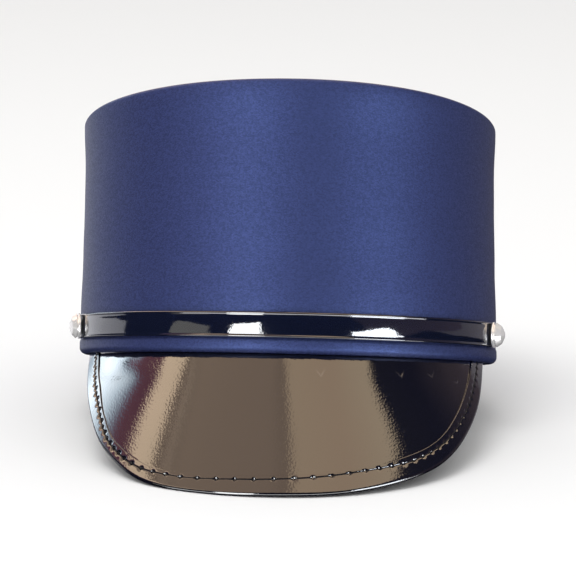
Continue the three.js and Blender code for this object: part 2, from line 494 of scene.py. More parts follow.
def handling_group() -> Tree:
    """Make the faint wear that the glossy sheet and the metal share.

    Returns:
        A group that turns a place, in metres, into smudges and a gentle unevenness, each from 0 to 1.
    """
    net, start = group("Handling", {"Place": None, "Smudge": 30 * MM, "Ripple": 20 * MM})
    smudges = net.noise(start["Place"], net.maths("DIVIDE", 1.0, start["Smudge"]), 6.0)
    ripples = net.noise(start["Place"], net.maths("DIVIDE", 1.0, start["Ripple"]), 1.0)
    return put(net, {"Smudges": smudges, "Unevenness": ripples})


def pucker_group() -> Tree:
    """Make the small V-shaped pucker that a seam pulls into the glossy sheet.

    Returns:
        A group that turns a place, a middle and a scale to metres into a ridge's height from 0 to 1.
    """
    inputs = {"Place": None, "Middle": None, "Scale": None}
    net, start = group("Pucker mark", inputs | {"Width": 0.6 * MM, "Arm": 2.4 * MM, "Steepness": 1.5})
    away = net.vector("SUBTRACT", start["Place"], start["Middle"])
    parts = net.add("SeparateXYZ", {0: net.vector("MULTIPLY", away, start["Scale"])}).outputs
    aside = net.maths("ABSOLUTE", parts["X"])
    line = net.maths("MULTIPLY_ADD", aside, start["Steepness"], parts["Y"])
    off = net.maths("DIVIDE", line, start["Width"])
    ridge = net.maths("EXPONENT", net.maths("MULTIPLY", net.maths("MULTIPLY", off, off), -1.0))
    fade = net.span(net.maths("DIVIDE", aside, start["Arm"]), (0.4, 1.0), (1.0, 0.0))
    return put(net, {"Height": net.maths("MULTIPLY", ridge, fade)})


class Groups:
    """The node groups, each made once."""

    def __init__(self) -> None:
        """Make the groups."""
        self.cloth = cloth_group()
        self.handling = handling_group()
        self.pucker = pucker_group()


@dataclass(frozen=True)
class Satin:
    """Navy satin: fine floats across the cloth, and a soft coloured gloss."""

    name: str = "navy_satin"
    deep: Colour = (0.014, 0.018, 0.068)
    light: Colour = (0.028, 0.036, 0.126)
    gloss: Colour = (0.31, 0.47, 1.0)
    gloss_level: float = 0.70
    roughness: float = 0.49
    roughness_swing: float = 0.05
    sheen: float = 0.01
    sheen_roughness: float = 0.35
    sheen_colour: Colour = (0.75, 0.8, 1.0)
    thread: float = 0.42 * MM
    float_length: float = 1.5
    relief: float = 0.05 * MM
    sway: float = 0.35 * MM
    sway_size: float = 45 * MM
    grain_range: tuple[float, float] = (0.25, 0.75)

    def build(self, groups: Groups) -> Material:
        """Make the material from the shared weave group.

        Args:
            groups: the shared node groups.

        Returns:
            The new material.
        """
        material, net, shader = begun(self.name)
        inputs = {
            "Place": net.add("UVMap", uv_map="cloth").outputs[0], "Thread": self.thread,
            "Float Length": self.float_length,
        }
        weave = net.add("Group", inputs, node_tree=groups.cloth).outputs
        grain = net.span(weave["Grain"], self.grain_range, (0.0, 1.0))
        slack = net.bump(net.noise(net.place(), 1 / self.sway_size, 1.5), self.sway)
        low, high = self.roughness - self.roughness_swing, self.roughness + self.roughness_swing
        net.fill(shader, {
            "Base Color": net.blend(grain, opaque(self.deep), opaque(self.light)),
            "Roughness": net.span(grain, (0.0, 1.0), (high, low)),
            "Normal": net.bump(weave["Height"], self.relief, slack),
            "Specular IOR Level": self.gloss_level,
            "Specular Tint": opaque(self.gloss),
            "Sheen Weight": self.sheen,
            "Sheen Roughness": self.sheen_roughness,
            "Sheen Tint": opaque(self.sheen_colour),
        })
        return material


@dataclass(frozen=True)
class Backing:
    """The stiff cloth seen inside the crown: dark, dull and coarsely pressed."""

    name: str = "backing_cloth"
    deep: Colour = (0.012, 0.014, 0.026)
    light: Colour = (0.030, 0.034, 0.055)
    thread: float = 0.7 * MM
    float_length: float = 1.2
    slub: float = 4 * MM
    relief: float = 0.15 * MM
    roughness: float = 0.9
    gloss_level: float = 0.2

    def build(self, groups: Groups) -> Material:
        """Make the material from the shared weave group.

        Args:
            groups: the shared node groups.

        Returns:
            The new material.
        """
        material, net, shader = begun(self.name)
        inputs = {
            "Place": net.place(), "Thread": self.thread, "Float Length": self.float_length,
            "Slub": self.slub,
        }
        weave = net.add("Group", inputs, node_tree=groups.cloth).outputs
        net.fill(shader, {
            "Base Color": net.blend(weave["Grain"], opaque(self.deep), opaque(self.light)),
            "Normal": net.bump(weave["Height"], self.relief),
            "Roughness": self.roughness,
            "Specular IOR Level": self.gloss_level,
        })
        return material


@dataclass(frozen=True)
class Patent:
    """Black patent sheet: a mirror gloss over black, with a faint unevenness, and a painted highlight along
    any pucker marks.
    """

    name: str = "patent_sheet"
    colour: Colour = (0.0035, 0.0035, 0.008)
    roughness: float = 0.05
    smudged: float = 0.06
    smudge_range: tuple[float, float] = (0.35, 0.7)
    coat: float = 1.0
    coat_roughness: float = 0.035
    ripple: float = 0.06 * MM
    ripple_size: float = 22 * MM
    peel: float = 0.030 * MM
    peel_size: float = 0.85 * MM
    marks: Rows = ()
    mark_scale: tuple[float, float] = (0.24, 0.07)
    mark_depth: float = 0.05 * MM
    # A painted highlight: the lighter tone laid on the black sheet along the pucker marks, where the gloss
    # would catch light.
    painted_mark_highlight: Colour = (0.040, 0.034, 0.036)

    def build(self, groups: Groups) -> Material:
        """Make the material from the shared handling group.

        Args:
            groups: the shared node groups.

        Returns:
            The new material.
        """
        material, net, shader = begun(self.name)
        place = net.place()
        inputs = {"Place": place, "Ripple": self.ripple_size}
        wear = net.add("Group", inputs, node_tree=groups.handling).outputs
        wave = net.bump(wear["Unevenness"], self.ripple)
        skin = net.bump(net.noise(place, 1 / self.peel_size, 1.0), self.peel, wave)
        colour = opaque(self.colour)
        if self.marks:
            height = self.marked(net, groups)
            skin = net.bump(height, self.mark_depth, skin)
            # Painted highlight: the marks' height also lightens the sheet's colour towards the marks'
            # highlight colour.
            colour = net.blend(height, colour, opaque(self.painted_mark_highlight))
        rough = (self.roughness, self.roughness + self.smudged)
        net.fill(shader, {
            "Base Color": colour,
            "Roughness": net.span(wear["Smudges"], self.smudge_range, rough),
            "Normal": skin,
            "Coat Normal": skin,
            "Coat Weight": self.coat,
            "Coat Roughness": self.coat_roughness,
        })
        return material

    def marked(self, net: Net, groups: Groups) -> Socket:
        """Draw the small pucker marks on the sheet's own map.

        Args:
            net: the material's nodes.
            groups: the shared node groups.

        Returns:
            Their height, from 0 to 1, which also masks the painted highlight on them.
        """
        shares = net.add("UVMap", uv_map="shares").outputs[0]
        height = 0.0
        for across, down in self.marks:
            inputs = {
                "Place": shares, "Middle": (across, down, 0.0), "Scale": (*self.mark_scale, 1.0),
            }
            mark = net.add("Group", inputs, node_tree=groups.pucker)
            height = net.maths("ADD", height, mark.outputs["Height"])
        return height


@dataclass(frozen=True)
class Dull:
    """A plain black finish for thread and for the underside of the peak."""

    name: str
    colour: Colour = (0.010, 0.010, 0.012)
    roughness: float = 0.55
    smoothed: float = 0.08
    roughened: float = 0.12
    smudge_range: tuple[float, float] = (0.3, 0.7)
    gloss_level: float = 0.4
    pebble: float = 0.9 * MM
    relief: float = 0.06 * MM

    def build(self, groups: Groups) -> Material:
        """Make the material, with a fine pebbled relief.

        Args:
            groups: the shared node groups.

        Returns:
            The new material.
        """
        material, net, shader = begun(self.name)
        place = net.place()
        wear = net.add("Group", {"Place": place}, node_tree=groups.handling).outputs
        pebbles = net.add("TexVoronoi", {"Vector": place, "Scale": 1 / self.pebble}).outputs
        rough = (self.roughness - self.smoothed, self.roughness + self.roughened)
        net.fill(shader, {
            "Base Color": opaque(self.colour),
            "Specular IOR Level": self.gloss_level,
            "Roughness": net.span(wear["Smudges"], self.smudge_range, rough),
            "Normal": net.bump(pebbles["Distance"], self.relief),
        })
        return material


@dataclass(frozen=True)
class Silver:
    """Bright plated metal with faint handling marks."""

    name: str = "plated_metal"
    colour: Colour = (0.90, 0.89, 0.88)
    dim: Colour = (0.70, 0.67, 0.67)
    roughness: float = 0.2
    roughened: float = 0.18
    mark_range: tuple[float, float] = (0.5, 0.8)
    metallic: float = 0.45
    smudge_size: float = 3 * MM
    ripple_size: float = 1.5 * MM
    relief: float = 0.01 * MM

    def build(self, groups: Groups) -> Material:
        """Make the material from the shared handling group.

        Args:
            groups: the shared node groups.

        Returns:
            The new material.
        """
        material, net, shader = begun(self.name)
        inputs = {"Place": net.place(), "Smudge": self.smudge_size, "Ripple": self.ripple_size}
        wear = net.add("Group", inputs, node_tree=groups.handling).outputs
        marks = net.span(wear["Smudges"], self.mark_range, (0.0, 1.0))
        rough = (self.roughness, self.roughness + self.roughened)
        net.fill(shader, {
            "Base Color": net.blend(marks, opaque(self.colour), opaque(self.dim)),
            "Roughness": net.span(marks, (0.0, 1.0), rough),
            "Normal": net.bump(wear["Unevenness"], self.relief),
            "Metallic": self.metallic,
        })
        return material


# The crown


@dataclass
class Crown:
    """The stiff drum: its side wall with a folded hem, and the flat top board set into it."""

    oval: Oval
    stance: Stance
    lean: Lean
    height: float = 99.2 * MM
    top_fall: float = 0.116
    level_band: float = 20 * MM
    wall: float = 2.5 * MM
    top_roll: float = 1.5 * MM
    lip_bevel: float = 0.5 * MM
    turn_in: float = 6 * MM
    turn_in_thickness: float = 1 * MM
    hem_thickness: float = 2.8 * MM
    hem_swell: float = 0.55 * MM
    hem_roll: float = 2.6 * MM
    hem_inner_roll: float = 0.8 * MM
    hem_shoulder: float = 6.2 * MM
    hem_fold: float = 7.5 * MM
    ease: float = 1 * MM
    board_thickness: float = 2.2 * MM
    board_sink: float = 0.6 * MM
    board_roll: float = 0.7 * MM
    gap: float = 0.3 * MM
    seam_depth: float = 0.5 * MM
    level_over: float = 0.7
    backing_under: float = -0.3
    around: int = 480
    hem_steps: int = 8
    shoulder_steps: int = 5
    side_steps: int = 24
    top_steps: int = 6
    board_rings: int = 12
    board_steps: int = 4

    # Height and swell past the rim oval of the outer side line, from the hem's shoulder up
    side_line: Rows = (
        (4.8, 0.55), (5.6, 0.4), (6.2, 0.1), (18.5, 0.2), (40.0, -0.5), (66.0, -0.95), (80.0, -1.05),
        (97.7, -0.45),
    )

    @property
    def ledge(self) -> float:
        """Height of the turned-in cloth that the top board lies over."""
        return self.height - self.board_sink - self.board_thickness - self.gap

    def swell_at(self, height: float) -> float:
        """Read the side line's swell at a height."""
        return eased([(row * MM, swell * MM) for row, swell in self.side_line], height)

    def slanted(self, point: Vector) -> Vector:
        """Stretch the heights above the level band so that the top lies in its slant plane.

        Args:
            point: a point of the crown with a level top.

        Returns:
            Its place in the slanted crown.
        """
        if point.z <= self.level_band:
            return point
        share = (point.z - self.level_band) / (self.height - self.level_band)
        top = self.height - self.top_fall * point.y - self.level_band
        return Vector((point.x, point.y, self.level_band + share * top))

    def settle(self, made: Mesh) -> None:
        """Bring a round turned mesh to the oval and the slant of the crown.

        Args:
            made: the mesh.
        """
        bmesh.ops.scale(made, vec=(1.0, self.oval.stretch, 1.0), verts=made.verts)
        for vertex in made.verts:
            vertex.co = self.lean.apply(self.slanted(vertex.co))

    def side_profile(self) -> list[Vector]:
        """Give the side wall's section, outside up and inside down, as a closed outline."""
        width = self.oval.half_width
        outer = width + self.hem_swell
        inner = outer - self.hem_thickness
        roll = self.hem_roll
        hem = quarter(spot(outer - roll, roll), spot(0, -roll), spot(roll, 0), self.hem_steps)
        low, fold, high = self.side_line[0][0] * MM, self.hem_shoulder, self.side_line[-1][0] * MM
        steps = self.shoulder_steps
        shoulder = [low + (fold - low) * i / steps for i in range(steps + 1)]
        steps = self.side_steps
        plain = [fold + (high - fold) * i / steps for i in range(1, steps + 1)]
        line = [spot(width + self.swell_at(height), height) for height in shoulder + plain]
        edge = line[-1].x
        roll = self.top_roll
        top = quarter(
            spot(edge - roll, self.height - roll), spot(roll, 0), spot(0, roll), self.top_steps
        )
        seat = edge - self.wall
        under = self.ledge - self.turn_in_thickness
        inside = [
            spot(width + self.swell_at(height) - self.wall, height)
            for height in reversed(plain) if self.hem_fold + 2 * self.ease < height < under - self.ease
        ]
        return [
            spot(inner + self.hem_inner_roll, 0),
            *hem, *line, *top[1:],
            spot(seat + self.lip_bevel / 2, self.height),
            spot(seat, self.height - self.lip_bevel),
            spot(seat, self.ledge),
            spot(seat - self.turn_in, self.ledge),
            spot(seat - self.turn_in, under),
            spot(seat, under),
            *inside,
            spot(width - self.wall, self.hem_fold + self.ease),
            spot(inner, self.hem_fold),
            spot(inner, self.hem_inner_roll),
            spot(inner + self.hem_inner_roll, 0),
        ]

    def press_seam(self, made: Mesh) -> None:
        """Draw the wall in along the plain seam up the middle of the back.

        Args:
            made: the wall's mesh.
        """
        for vertex in made.verts:
            off = abs(abs(self.oval.turn_of(vertex.co)) - math.pi)
            if off < math.pi / self.around and vertex.co.z < self.height:
                vertex.co.xy *= 1 - self.seam_depth / vertex.co.xy.length

    def cloth_place(self, point: Vector, middle: float, level: bool) -> tuple[float, float]:
        """Find a point of the wall on the cloth.

        Args:
            point: the point.
            middle: angle round from the front of the face that it belongs to.
            level: whether that face lies level, and the cloth runs in over it.

        Returns:
            The way round the crown and up it, in metres.
        """
        turn = self.oval.turn_of(point)
        turn += 2 * math.pi * round((middle - turn) / (2 * math.pi))
        inset = self.oval.half_width - point.xy.length / self.oval.stretch
        return turn * self.oval.half_width, point.z + (inset if level else 0.0)

    def lay_cloth(self, made: Mesh, flat: bool) -> None:
        """Give each face its place on the cloth, in metres.

        Args:
            made: the mesh.
            flat: whether the cloth lies flat on the top or is wrapped round the crown.
        """
        layer = made.loops.layers.uv.new("cloth")
        for face in made.faces:
            middle = self.oval.turn_of(face.calc_center_median())
            level = abs(face.normal.z) > self.level_over
            for loop in face.loops:
                point = loop.vert.co
                loop[layer].uv = point.xy if flat else self.cloth_place(point, middle, level)

    def build_side(self, satin: Material, backing: Material) -> None:
        """Make the side wall.

        Args:
            satin: finish of the outside, the hem and the cloth turned in.
            backing: finish of the inside.
        """
        made = spun(self.side_profile(), self.around)
        self.settle(made)
        self.press_seam(made)
        bmesh.ops.recalc_face_normals(made, faces=made.faces)
        self.lay_cloth(made, flat=False)
        under = self.ledge - self.turn_in_thickness
        for face in made.faces:
            middle = face.calc_center_median()
            outward = face.normal.dot(self.oval.outward(self.oval.turn_of(middle)))
            share = (self.height - self.top_fall * middle.y) / self.height
            between = self.hem_fold + self.ease < middle.z < under * share
            face.material_index = int(between and outward < self.backing_under)
        worn(finished("crown_side_satin", made, self.stance, [satin, backing]), Slot.SATIN, "crown_side")

    def build_top(self, satin: Material) -> None:
        """Make the satin-covered top board.

        Args:
            satin: its finish.
        """
        top = self.height - self.board_sink
        bottom = top - self.board_thickness
        radius = self.oval.half_width + self.side_line[-1][1] * MM - self.wall - self.gap
        roll, steps = self.board_roll, self.board_steps
        flat = radius - roll
        rings = [flat * i / self.board_rings for i in range(self.board_rings)]
        rounding = quarter(spot(flat, bottom + roll), spot(0, -roll), spot(roll, 0), steps)
        rounding += quarter(spot(flat, top - roll), spot(roll, 0), spot(0, roll), steps)
        profile = [spot(ring, bottom) for ring in rings] + rounding
        profile += [spot(ring, top) for ring in reversed(rings)]
        made = spun(profile, self.around // 2)
        self.settle(made)
        self.lay_cloth(made, flat=True)
        worn(finished("crown_top_satin", made, self.stance, [satin]), Slot.SATIN, "crown_top")


# The peak


@dataclass
class Peak:
    """The glossy sheet over the eyes."""

    oval: Oval
    stance: Stance
    sheet: float = 1.2 * MM
    slope: float = math.radians(60)
    reach: float = 64.9 * MM
    span: float = math.radians(80.5)
    end: float = math.radians(73)
    fullness: float = 2.82
    shoulder: float = 2.5
    sewing_edge: float = 7 * MM
    inset: float = 1.8 * MM
    least: float = 0.2 * MM
    hem_swell: float = 0.95 * MM
    hem_thickness: float = 3.2 * MM
    gap: float = 0.3 * MM
    shift: float = 0.3 * MM
    fan: float = 0.035
    fan_width: float = 25 * MM
    fan_middle: float = -20 * MM
    fan_from: float = 12 * MM
    fan_to: float = 60 * MM
    wave: float = 0.05 * MM
    wave_pitch: float = 12.5 * MM
    wave_from: float = 2 * MM
    wave_fade: float = 6 * MM
    fold: float = 0.12
    pressed: float = 0.35 * MM
    pressed_from: float = 0.5 * MM
    pressed_to: float = 1.1 * MM
    bulge: float = 0.45 * MM
    bulge_turn: float = math.radians(-46)
    bulge_along: float = 9 * MM
    bulge_width: float = 12 * MM
    bulge_length: float = 5.5 * MM
    columns: int = 300
    rows: int = 96

    # How much longer the sheet is than a true one: degrees round from the front, millimetres
    uneven: Rows = (
        (-74.0, -1.2), (-60.0, -0.8), (-50.0, -1.5), (-38.0, 0.0), (-27.0, 1.6), (-12.0, 0.2), (6.0, 0.0),
        (24.0, -0.8), (33.0, -0.4), (46.0, -1.5), (60.0, -0.5), (72.0, -1.0),
    )

    # The binding's width on the upper face: degrees round from the front, millimetres
    bound: Rows = (
        (-66.0, 8.7), (-56.0, 8.2), (-46.0, 6.6), (-38.0, 5.6), (-28.0, 6.6), (-12.0, 8.3), (6.0, 8.8),
        (27.0, 9.2), (42.0, 8.0), (60.0, 8.3),
    )

    # Small marks pulled by the seam in the hem, each with a painted highlight on the sheet: degrees round
    # from the front, millimetres below the rim
    puckers: Rows = ((10.3, 10.5), (31.8, 10.2), (41.5, 9.8), (50.0, 12.3))

    @property
    def root(self) -> float:
        """Half width of the oval that the middle of the sheet leaves the hem on."""
        return self.oval.half_width + self.hem_swell - self.hem_thickness - self.gap - self.sheet / 2

    def length(self, turn: float) -> float:
        """Measure the sheet from the rim plane to its outline, along the slope."""
        true = self.reach * (1 - min(abs(turn / self.span), 1.0) ** self.fullness) ** self.shoulder
        return true + at_turn(self.uneven, turn)

    def normal(self, turn: float) -> Vector:
        """Give the direction square out of the upper face."""
        return self.oval.outward(turn) * math.sin(self.slope) + UP * math.cos(self.slope)

    def flattened(self, turn: float, along: float) -> float:
        """Give how far the sheet lies out of a true cone, because its lower part is bent less.

        Args:
            turn: angle round from the front.
            along: way down the slope from the rim plane.

        Returns:
            The distance, square out of the upper face.
        """
        off = (self.oval.half_width * turn - self.fan_middle) / self.fan_width
        rise = self.fan * self.fan_width * math.log(math.cosh(off))
        return rise * smoothstep(self.fan_from, self.fan_to, along)

    def dressed(self, place: Vector, lift: float) -> Vector:
        """Bring a point of the true cone to the real sheet.

        Args:
            place: the point.
            lift: how far out of the sheet it then goes.

        Returns:
            The new point.
        """
        turn = self.oval.turn_of(place)
        along = -place.z / math.sin(self.slope)
        return place + self.normal(turn) * (self.flattened(turn, along) + lift)

    def point(self, turn: float, along: float) -> Vector:
        """Find a point of the true cone.

        Args:
            turn: angle round from the front.
            along: way down the slope from the rim plane, or up inside the crown where it is negative.

        Returns:
            The point in the upright frame.
        """
        at = self.oval.point(turn, self.root) + Vector((self.shift, 0.0, 0.0))
        if along < 0:
            return at - UP * along
        out = self.oval.outward(turn) * (along * math.cos(self.slope))
        return at + out - UP * (along * math.sin(self.slope))

    def edge(self, turn: float) -> tuple[Vector, Vector]:
        """Find the outline at an angle round from the front.

        Args:
            turn: the angle.

        Returns:
            The point on the true cone's outline, and the direction in along the sheet.
        """
        step = 1e-3
        before = self.point(turn - step, self.length(turn - step))
        after = self.point(turn + step, self.length(turn + step))
        inward = self.normal(turn).cross(after - before).normalized()
        return self.point(turn, self.length(turn)), inward

    def covered(self, turn: float, along: float, inward: Vector) -> float:
        """Give how far the binding presses the sheet in at a place.

        Args:
            turn: angle round from the front.
            along: way down the slope from the rim plane.
            inward: direction in along the sheet, square to its outline.

        Returns:
            The distance, nothing outside the binding.
        """
        off = (self.length(turn) - along) * max(inward.z / math.sin(self.slope), 0.0)
        within = at_turn(self.bound, turn) - off
        return self.pressed * smoothstep(self.pressed_from, self.pressed_to, within)

    def bulged(self, turn: float, along: float) -> float:
        """Give how far the sheet stands out beside the hem, where the seam pulls it.

        Args:
            turn: angle round from the front.
            along: way down the slope from the rim plane.

        Returns:
            The distance, square out of the upper face.
        """
        aside = self.oval.half_width * (turn - self.bulge_turn) / self.bulge_width
        down = (along - self.bulge_along) / self.bulge_length
        return self.bulge * math.exp(-(aside**2) - down**2)

    def share_of(self, turn: float, along: float) -> tuple[float, float]:
        """Give a place on the sheet as shares across it and down it."""
        down = self.fold + (1 - self.fold) * along / (self.length(turn) - self.inset)
        return (turn / self.end + 1) / 2, down

    def sheet_point(self, across: float, down: float) -> Vector:
        """Set a point of the middle of the sheet.

        Args:
            across: share of the way across it, from its left end.
            down: share of the way down it, from the top of its sewing edge.

        Returns:
            The point in the upright frame.
        """
        turn = self.end * (2 * across - 1)
        if down < self.fold:
            return self.point(turn, -self.sewing_edge * (1 - down / self.fold))
        share = (down - self.fold) / (1 - self.fold)
        along = share * max(self.length(turn) - self.inset, self.least)
        wave = math.cos(2 * math.pi * self.oval.arc(turn, steps=8) / self.wave_pitch)
        lift = self.wave * wave * math.exp(-along / self.wave_fade) * smoothstep(0.0, self.wave_from, along)
        lift += self.bulged(turn, along) - self.covered(turn, along, self.edge(turn)[1])
        return self.dressed(self.point(turn, along), lift)

    def build_sheet(self, patent: Material, underside: Material) -> None:
        """Make the sheet.

        Args:
            patent: finish of the upper face.
            underside: finish of the lower face.
        """
        made = bent_grid(self.columns, self.rows, self.sheet_point)
        bmesh.ops.recalc_face_normals(made, faces=made.faces)
        front = self.oval.outward(0.0)
        if sum(face.normal.dot(front) for face in made.faces) < 0:
            bmesh.ops.reverse_faces(made, faces=made.faces)
        for vertex in made.verts:
            vertex.co += vertex.normal * (self.sheet / 2)
        bmesh.ops.solidify(made, geom=made.faces, thickness=self.sheet)
        bmesh.ops.recalc_face_normals(made, faces=made.faces)
        for face in made.faces:
            turn = self.oval.turn_of(face.calc_center_median())
            face.material_index = int(face.normal.dot(self.normal(turn)) < 0)
        worn(finished("peak_patent", made, self.stance, [patent, underside]), Slot.PATENT, "peak")


@dataclass
class Binding:
    """The strip folded round the peak's edge, and the stitches that hold it."""

    peak: Peak
    end: float = math.radians(74)
    thickness: float = 0.45 * MM
    inner_round: float = 0.12 * MM
    roll: float = 1.15 * MM
    thread: float = 0.42 * MM
    groove_width: float = 0.28 * MM
    hole_size: float = 0.78 * MM
    hole_depth: float = 0.64 * MM
    hole_dark: float = 0.36 * MM
    hole_reach: float = 2.4 * MM
    hole_window: float = 0.25
    zigzag: float = 0.25 * MM
    zigzag_fades: tuple[float, float] = (-40.0, -24.0)
    spacing: float = 0.4 * MM
    under_hem: float = 0.5 * MM
    least_rise: float = 0.2
    least_plain: float = 0.05 * MM
    least_outer: float = 0.3 * MM
    smooth_under: float = math.radians(75)
    clear: float = 0.02 * MM
    core: float = 1.3 * MM
    fine_band: float = 1.3 * MM
    stitch_dip: float = 0.7 * MM
    stitch_sink: float = 0.04 * MM
    stitch_steps: int = 10

    # The stitch row: degrees round from the front, and millimetres from the outer edge in along the sheet
    rows: Rows = (
        (-66.0, 6.4), (-52.0, 5.4), (-36.0, 3.2), (-20.0, 5.4), (-5.0, 6.7), (16.0, 8.0), (30.0, 6.5),
        (44.0, 5.0), (66.0, 4.7),
    )

    # Degrees round from the front, and share of the holes' full depth
    hole_depths: Rows = ((30.0, 1.0), (44.0, 0.5))

    # Degrees round from the front, and the stitches' length and the groove's depth in millimetres
    pitches: Rows = (
        (-66.0, 3.6), (-36.0, 4.0), (-26.0, 6.5), (-10.0, 7.9), (14.0, 7.9), (26.0, 5.6), (66.0, 4.8),
    )
    groove_depths: Rows = (
        (-36.0, 0.22), (-26.0, 0.15), (0.0, 0.15), (12.0, 0.2), (26.0, 0.26), (36.0, 0.1), (44.0, 0.05),
    )

    def turns(self, pitch: Callable[[float], float]) -> list[float]:
        """Step along the outline, from one end of the binding to the other.

        Args:
            pitch: gives the length of the step to take at an angle.

        Returns:
            The angles stepped on.
        """
        half = 1500
        fine = [self.end * (i / half - 1) for i in range(2 * half + 1)]
        points = [self.peak.edge(turn)[0] for turn in fine]
        found = [fine[0]]
        run = 0.0
        for turn, before, after in zip(fine[1:], points, points[1:]):
            run += (after - before).length
            if run >= pitch(turn):
                found.append(turn)
                run = 0.0
        return found

    def width_at(self, turn: float, inward: Vector) -> float:
        """Give the binding's width on the upper face, which ends under the hem."""
        rise = max(inward.z / math.sin(self.peak.slope), self.least_rise)
        return min(at_turn(self.peak.bound, turn), (self.peak.length(turn) + self.under_hem) / rise)

    def holes(self) -> list[tuple[float, Vector]]:
        """Place the stitch holes along the stitch row, with the angle of each."""
        found = []
        for i, turn in enumerate(self.turns(lambda turn: at_turn(self.pitches, turn))[1:]):
            at, inward = self.peak.edge(turn)
            aside = self.zigzag * (-1) ** i * (1 - smoothstep(*self.zigzag_fades, math.degrees(turn)))
            found.append((turn, at + inward * (at_turn(self.rows, turn) + aside)))
        return found

    def depth_at(self, turn: float) -> float:
        """Give the stitch holes' depth at an angle."""
        return self.hole_depth * eased(self.hole_depths, math.degrees(turn))

    def drawn_in(self, here: Vector, turn: float, holes: Sequence[tuple[float, Vector]]) -> float:
        """Give how far the stitch holes near a place draw the strip in."""
        near = min((here - hole).length for at, hole in holes if abs(at - turn) < self.hole_window)
        return self.depth_at(turn) * math.exp(-((near / self.hole_size) ** 2))

    def build(self, patent: Material, hole: Material) -> None:
        """Make the strip.

        Args:
            patent: its finish.
            hole: the dark inside of the stitch holes.
        """
        half = self.peak.sheet / 2
        face = half + self.thickness
        turns = self.turns(lambda turn: self.spacing)
        edges = [self.peak.edge(turn) for turn in turns]
        holes = self.holes()
        plain, fine, outer, rolled, under = 8, 26, 8, 12, 6
        stops = [plain, plain + fine, plain + fine + outer]

        def upper(step: int, width: float, row: float) -> float:
            """Step in over the upper face: finest round the stitch row.

            Args:
                step: the step.
                width: the binding's width.
                row: the stitch row's distance from the outer edge.

            Returns:
                The distance in from the outer edge.
            """
            start = width - self.inner_round
            first = min(row + self.fine_band, start - self.least_plain)
            second = max(row - self.fine_band, self.roll + self.least_outer)
            if step <= stops[0]:
                return start + (first - start) * step / plain
            if step <= stops[1]:
                return first + (second - first) * (step - stops[0]) / fine
            return second + (self.roll - second) * (step - stops[1]) / outer

        def section(step: int, width: float, row: float, groove: float) -> tuple[float, float]:
            """Step round the section from the upper inner edge.

            Args:
                step: the step.
                width: the binding's width.
                row: the stitch row's distance from the outer edge.
                groove: the groove's depth.

            Returns:
                The distance in from the outer edge, and the lift out of the sheet.
            """
            if step == 0:
                return width, half - self.clear
            if step == 1:
                return width, face - self.inner_round
            step -= 2
            if step <= stops[2]:
                inwards = upper(step, width, row)
                return inwards, face - groove * math.exp(-(((inwards - row) / self.groove_width) ** 2))
            step -= stops[2]
            if step <= rolled:
                swing = math.pi * step / rolled
                return self.roll * (1 - math.sin(swing)), face * math.cos(swing)
            step -= rolled
            if step <= under:
                return self.roll + (width - self.roll) * step / under, -face
            return width, -half + self.clear

        last = 2 + stops[2] + rolled + under + 1

        def place(along: float, round_: float) -> Vector:
            """Set a point of the strip.

            Args:
                along: share of the way along it, from its left end.
                round_: share of the way round its section.

            Returns:
                The point in the upright frame.
            """
            i = round(along * (len(turns) - 1))
            step = round(round_ * (last + 2))
            at, inward = edges[i]
            width, row = self.width_at(turns[i], inward), at_turn(self.rows, turns[i])
            groove = at_turn(self.groove_depths, turns[i])
            inwards, lift = section(step, width, row, groove)
            if step == last + 1:
                inwards, lift = self.core, 0.0
            if step == last + 2:
                inwards, lift = section(0, width, row, groove)
            here = at + inward * inwards
            if 2 <= step <= stops[2] + 2 and abs(inwards - row) < self.hole_reach:
                lift -= self.drawn_in(here, turns[i], holes)
            return self.peak.dressed(here, lift)

        made = bent_grid(len(turns) - 1, last + 2, place)
        closed(made)
        tree = KDTree(len(holes))
        for i, (turn, hole_at) in enumerate(holes):
            tree.insert(self.peak.dressed(hole_at, face - self.depth_at(turn)), i)
        tree.balance()
        for part in made.faces:
            part.material_index = int(tree.find(part.calc_center_median())[2] < self.hole_dark)
        finishes = [patent, hole]
        piece = finished("peak_binding_patent", made, self.peak.stance, finishes, self.smooth_under)
        worn(piece, Slot.PATENT, "peak_binding")

    def thread_ring(self, centre: Vector, normal: Vector, ahead: Vector) -> Matrix:
        """Give the place of a ring of thread that faces ahead."""
        return Matrix.Translation(centre) @ axes(normal.cross(ahead), normal, -ahead)

    def build_stitches(self, thread: Material) -> None:
        """Make the stitches that lie in the groove from hole to hole.

        Args:
            thread: their finish.
        """
        made = bmesh.new()
        face = self.peak.sheet / 2 + self.thickness
        holes = self.holes()
        for (first, start), (second, stop) in zip(holes, holes[1:]):
            before = []
            ahead = (stop - start).normalized()
            for i in range(self.stitch_steps + 1):
                share = i / self.stitch_steps
                turn = first + (second - first) * share
                dip = self.stitch_dip * (2 * share - 1) ** 8
                lift = face - at_turn(self.groove_depths, turn) - self.stitch_sink - dip
                centre = self.peak.dressed(start.lerp(stop, share), lift)
                place = self.thread_ring(centre, self.peak.normal(turn), ahead)
                radius = self.thread / 2
                ring = bmesh.ops.create_circle(made, segments=8, radius=radius, matrix=place)["verts"]
                if before:
                    edges = dict.fromkeys(edge for vertex in before + ring for edge in vertex.link_edges)
                    loose = [edge for edge in edges if len(edge.link_faces) < 2]
                    bmesh.ops.bridge_loops(made, edges=loose)
                before = ring
        closed(made)
        worn(finished("peak_stitching", made, self.peak.stance, [thread]), Slot.PATENT)


# The strap and its buttons


